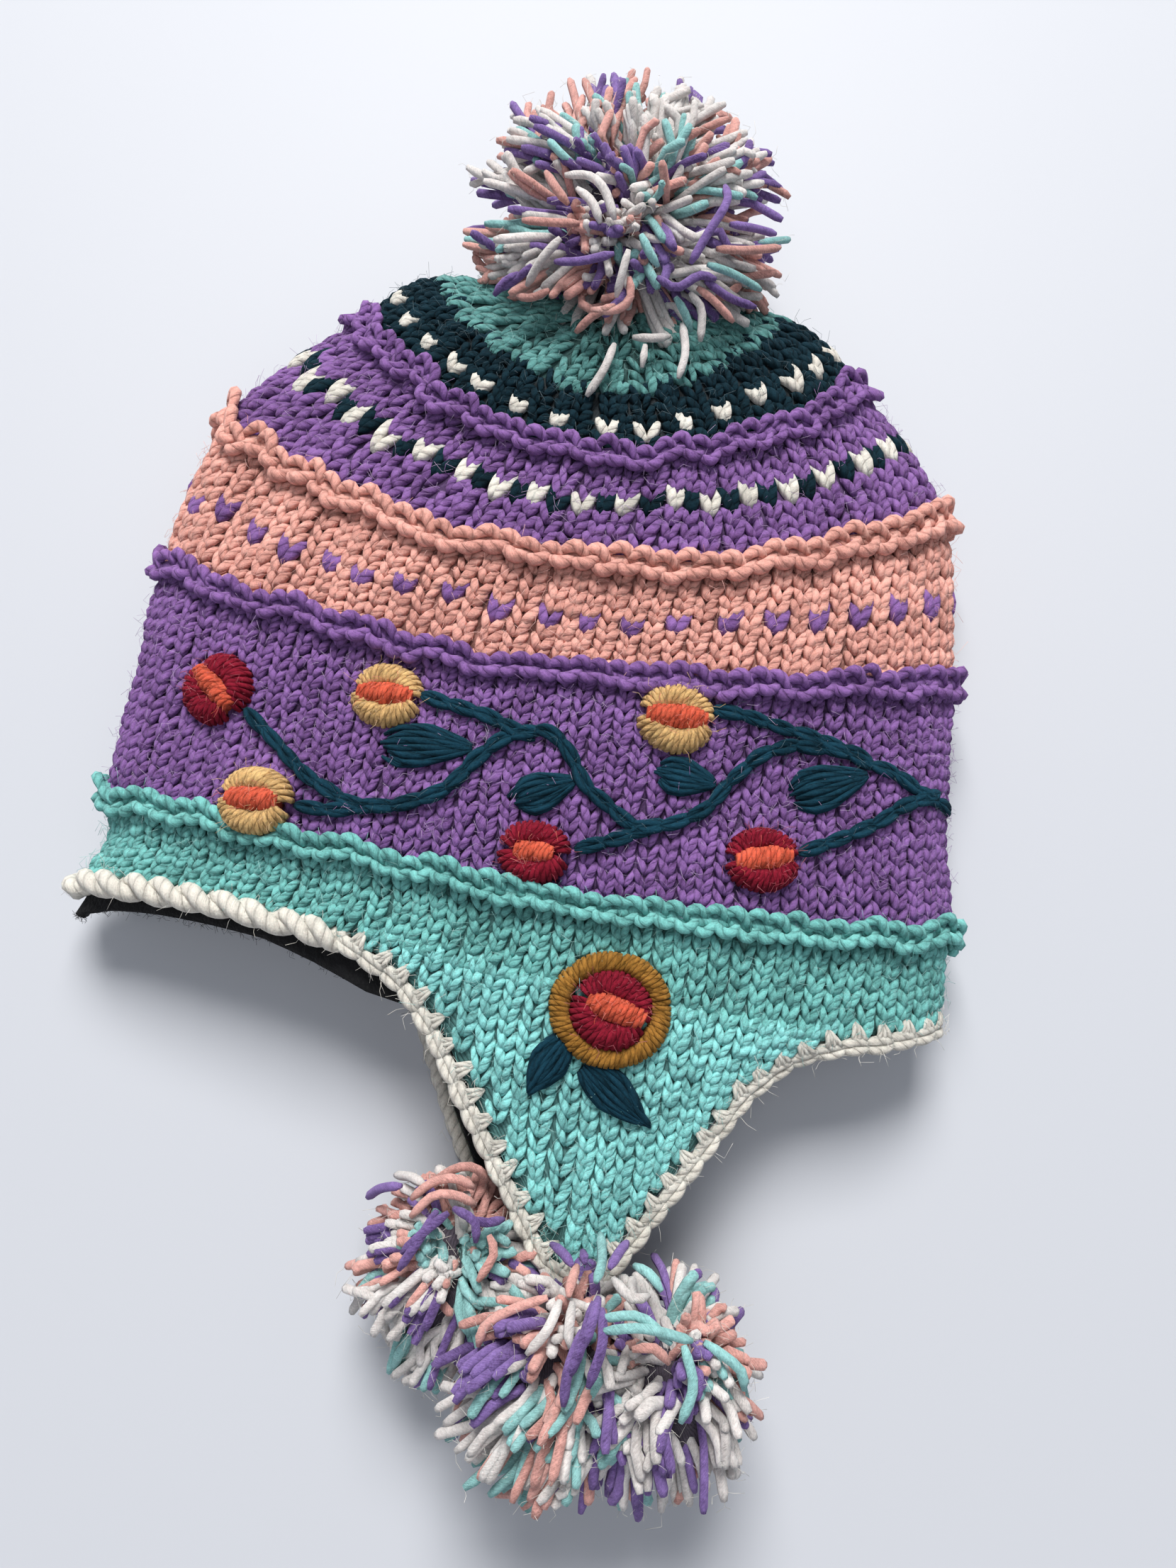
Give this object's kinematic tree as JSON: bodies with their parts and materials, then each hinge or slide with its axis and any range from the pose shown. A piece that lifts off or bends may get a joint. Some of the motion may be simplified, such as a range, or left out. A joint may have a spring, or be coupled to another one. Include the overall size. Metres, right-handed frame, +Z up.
{
  "type": "knitted ear-flap hat",
  "caption": "Hand-knitted striped winter hat with ear flaps, wool pompoms and a flowered vine stitched on one side, lying flat on its side.",
  "frame": {"origin": "on the flat resting face under the far side, below the middle of the wide lower band", "axes": "+Y from the face opening to the crown, +Z up from the surface it lies on, +X to the right of the near side"},
  "size_m": [0.2544, 0.4183, 0.0772],
  "materials": {
    "crown_top": "matt knitted wool",
    "ear_flap_far": "matt knitted wool",
    "ear_flap_near": "matt knitted wool",
    "edging": "matt crocheted wool",
    "flap_flower_heart": "matt stitched wool",
    "flap_flower_inner_petals": "matt stitched wool",
    "flap_flower_outer_petals": "matt stitched wool",
    "flap_leaf_left": "matt stitched wool",
    "flap_leaf_right": "matt stitched wool",
    "flap_lining_far": "matt fleece",
    "flap_lining_near": "matt fleece",
    "flower_1_heart": "matt stitched wool",
    "flower_1_petals": "matt stitched wool",
    "flower_2_heart": "matt stitched wool",
    "flower_2_petals": "matt stitched wool",
    "flower_3_heart": "matt stitched wool",
    "flower_3_petals": "matt stitched wool",
    "flower_4_heart": "matt stitched wool",
    "flower_4_petals": "matt stitched wool",
    "flower_5_heart": "matt stitched wool",
    "flower_5_petals": "matt stitched wool",
    "flower_6_heart": "matt stitched wool",
    "flower_6_petals": "matt stitched wool",
    "leaf_1": "matt stitched wool",
    "leaf_2": "matt stitched wool",
    "leaf_3": "matt stitched wool",
    "leaf_4": "matt stitched wool",
    "lining": "matt fleece",
    "lower_purple_band": "matt knitted wool",
    "mint_band": "matt knitted wool",
    "peach_band": "matt knitted wool",
    "pompom_far": "loose wool strands",
    "pompom_near": "loose wool strands",
    "pompom_top": "loose wool strands",
    "stem_2": "matt stitched wool",
    "stem_3": "matt stitched wool",
    "stem_4": "matt stitched wool",
    "stem_5": "matt stitched wool",
    "stem_6": "matt stitched wool",
    "stem_long": "matt stitched wool",
    "teal_band": "matt knitted wool",
    "upper_purple_band": "matt knitted wool"
  },
  "bodies": {
    "root": {"crown_top": "crown_top", "ear_flap_far": "ear_flap_far", "ear_flap_near": "ear_flap_near", "edging": "edging", "flap_flower_heart": "flap_flower_heart", "flap_flower_inner_petals": "flap_flower_inner_petals", "flap_flower_outer_petals": "flap_flower_outer_petals", "flap_leaf_left": "flap_leaf_left", "flap_leaf_right": "flap_leaf_right", "flap_lining_far": "flap_lining_far", "flap_lining_near": "flap_lining_near", "flower_1_heart": "flower_1_heart", "flower_1_petals": "flower_1_petals", "flower_2_heart": "flower_2_heart", "flower_2_petals": "flower_2_petals", "flower_3_heart": "flower_3_heart", "flower_3_petals": "flower_3_petals", "flower_4_heart": "flower_4_heart", "flower_4_petals": "flower_4_petals", "flower_5_heart": "flower_5_heart", "flower_5_petals": "flower_5_petals", "flower_6_heart": "flower_6_heart", "flower_6_petals": "flower_6_petals", "leaf_1": "leaf_1", "leaf_2": "leaf_2", "leaf_3": "leaf_3", "leaf_4": "leaf_4", "lining": "lining", "lower_purple_band": "lower_purple_band", "mint_band": "mint_band", "peach_band": "peach_band", "pompom_far": "pompom_far", "pompom_near": "pompom_near", "pompom_top": "pompom_top", "stem_2": "stem_2", "stem_3": "stem_3", "stem_4": "stem_4", "stem_5": "stem_5", "stem_6": "stem_6", "stem_long": "stem_long", "teal_band": "teal_band", "upper_purple_band": "upper_purple_band"}
  },
  "joints": []
}
